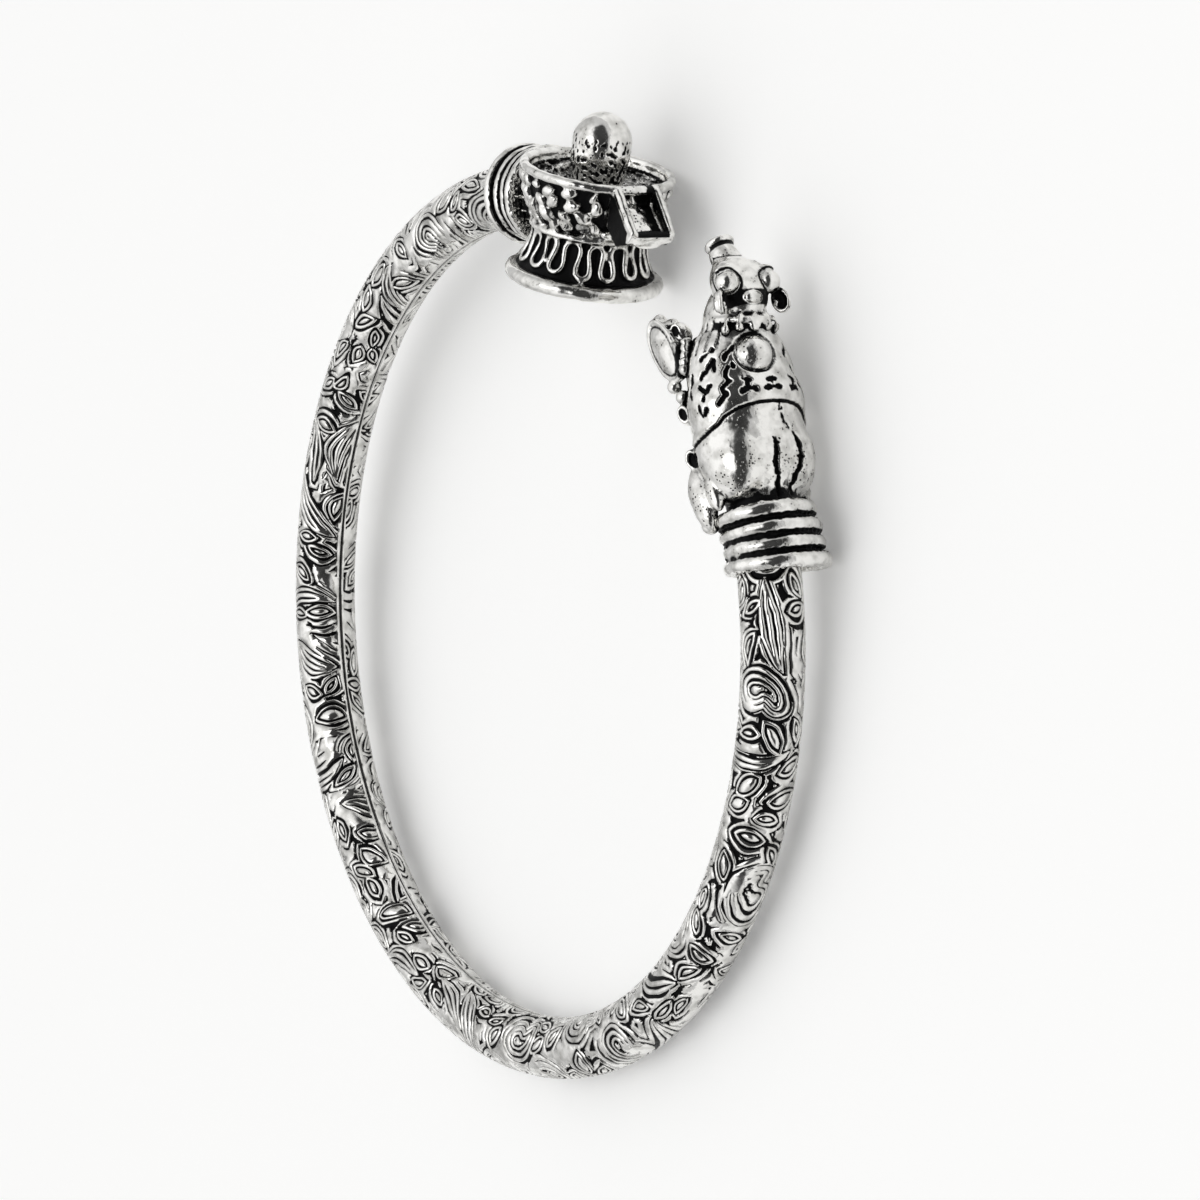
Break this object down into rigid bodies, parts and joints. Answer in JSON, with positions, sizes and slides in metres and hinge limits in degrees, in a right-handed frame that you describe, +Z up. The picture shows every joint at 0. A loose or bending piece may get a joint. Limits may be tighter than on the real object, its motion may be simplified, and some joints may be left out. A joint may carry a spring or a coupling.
{
  "type": "kada bangle",
  "caption": "Open rigid bangle: an engraved round tube bent to a circle, with a lingam on its pedestal at one end and a lying bull at the other, behind ribbed collars.",
  "frame": {"origin": "on the surface the bangle lies on, under the middle of its bounding box", "axes": "+Z up, through the wrist opening; -Y through the gap between the finials"},
  "size_m": [0.075, 0.0802, 0.0134],
  "materials": {
    "engraved_silver": "oxidised 925 silver tube, polished strands over a blackened ground",
    "cast_silver": "cast 925 silver, polished high spots and blackened recesses"
  },
  "bodies": {
    "root": {"hoop": "engraved_silver", "linga_collar": "cast_silver", "yoni_pedestal": "cast_silver", "lingam": "cast_silver", "nandi_collar": "cast_silver", "nandi_bull": "cast_silver"}
  },
  "joints": []
}
